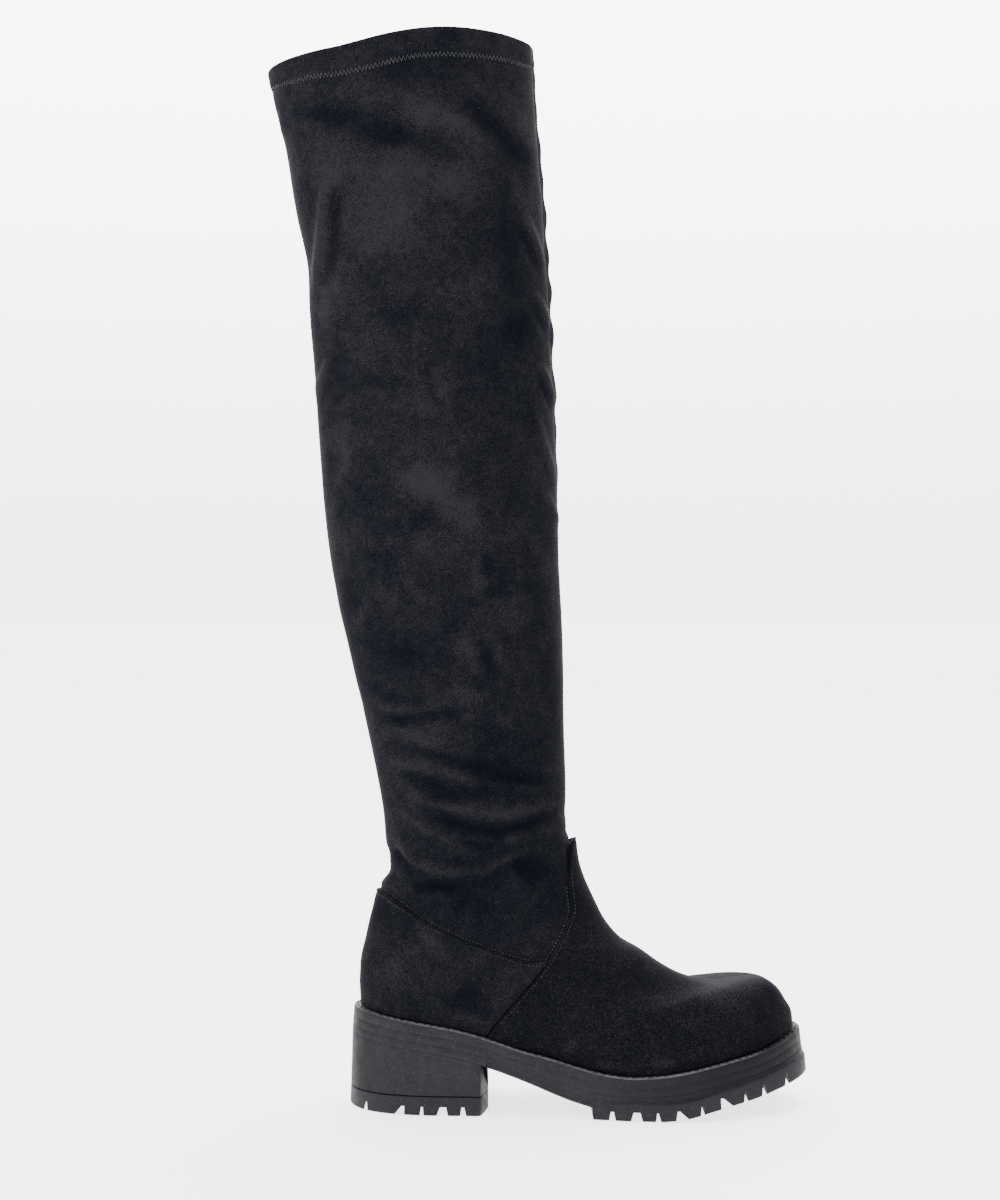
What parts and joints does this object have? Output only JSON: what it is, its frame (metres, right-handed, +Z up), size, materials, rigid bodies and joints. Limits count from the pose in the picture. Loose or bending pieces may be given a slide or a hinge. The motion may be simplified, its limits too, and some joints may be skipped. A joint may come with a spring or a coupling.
{
  "type": "thigh high boot",
  "caption": "Pull-on thigh high boot with a hollow stretch shaft, pointed front panel, heel panel and a thick lugged sole with a block heel.",
  "frame": {"origin": "on the floor, under the middle of the heel's tread", "axes": "+Z up the shaft, +X from the heel to the toe, +Y to the inner side of the foot"},
  "size_m": [0.3279, 0.1021, 0.6419],
  "materials": {
    "stretch_suede": "black stretch suede with a short blotchy nap",
    "vamp_suede": "black faux suede, short nap, edge turned at the seam",
    "counter_suede": "black faux suede, short nap",
    "insole_board": "dark lined sock",
    "welt_rubber": "moulded dark grey rubber, satin, with a stitched look rim",
    "midsole_rubber": "moulded dark grey rubber, satin, ribbed side",
    "outsole_rubber": "moulded dark grey rubber, satin, lugged",
    "top_lift_rubber": "moulded dark grey rubber, satin, lugged"
  },
  "bodies": {
    "root": {"upper": "stretch_suede", "vamp": "vamp_suede", "counter": "counter_suede", "insole": "insole_board", "welt": "welt_rubber", "midsole": "midsole_rubber", "outsole": "outsole_rubber", "heel_top_lift": "top_lift_rubber"}
  },
  "joints": []
}
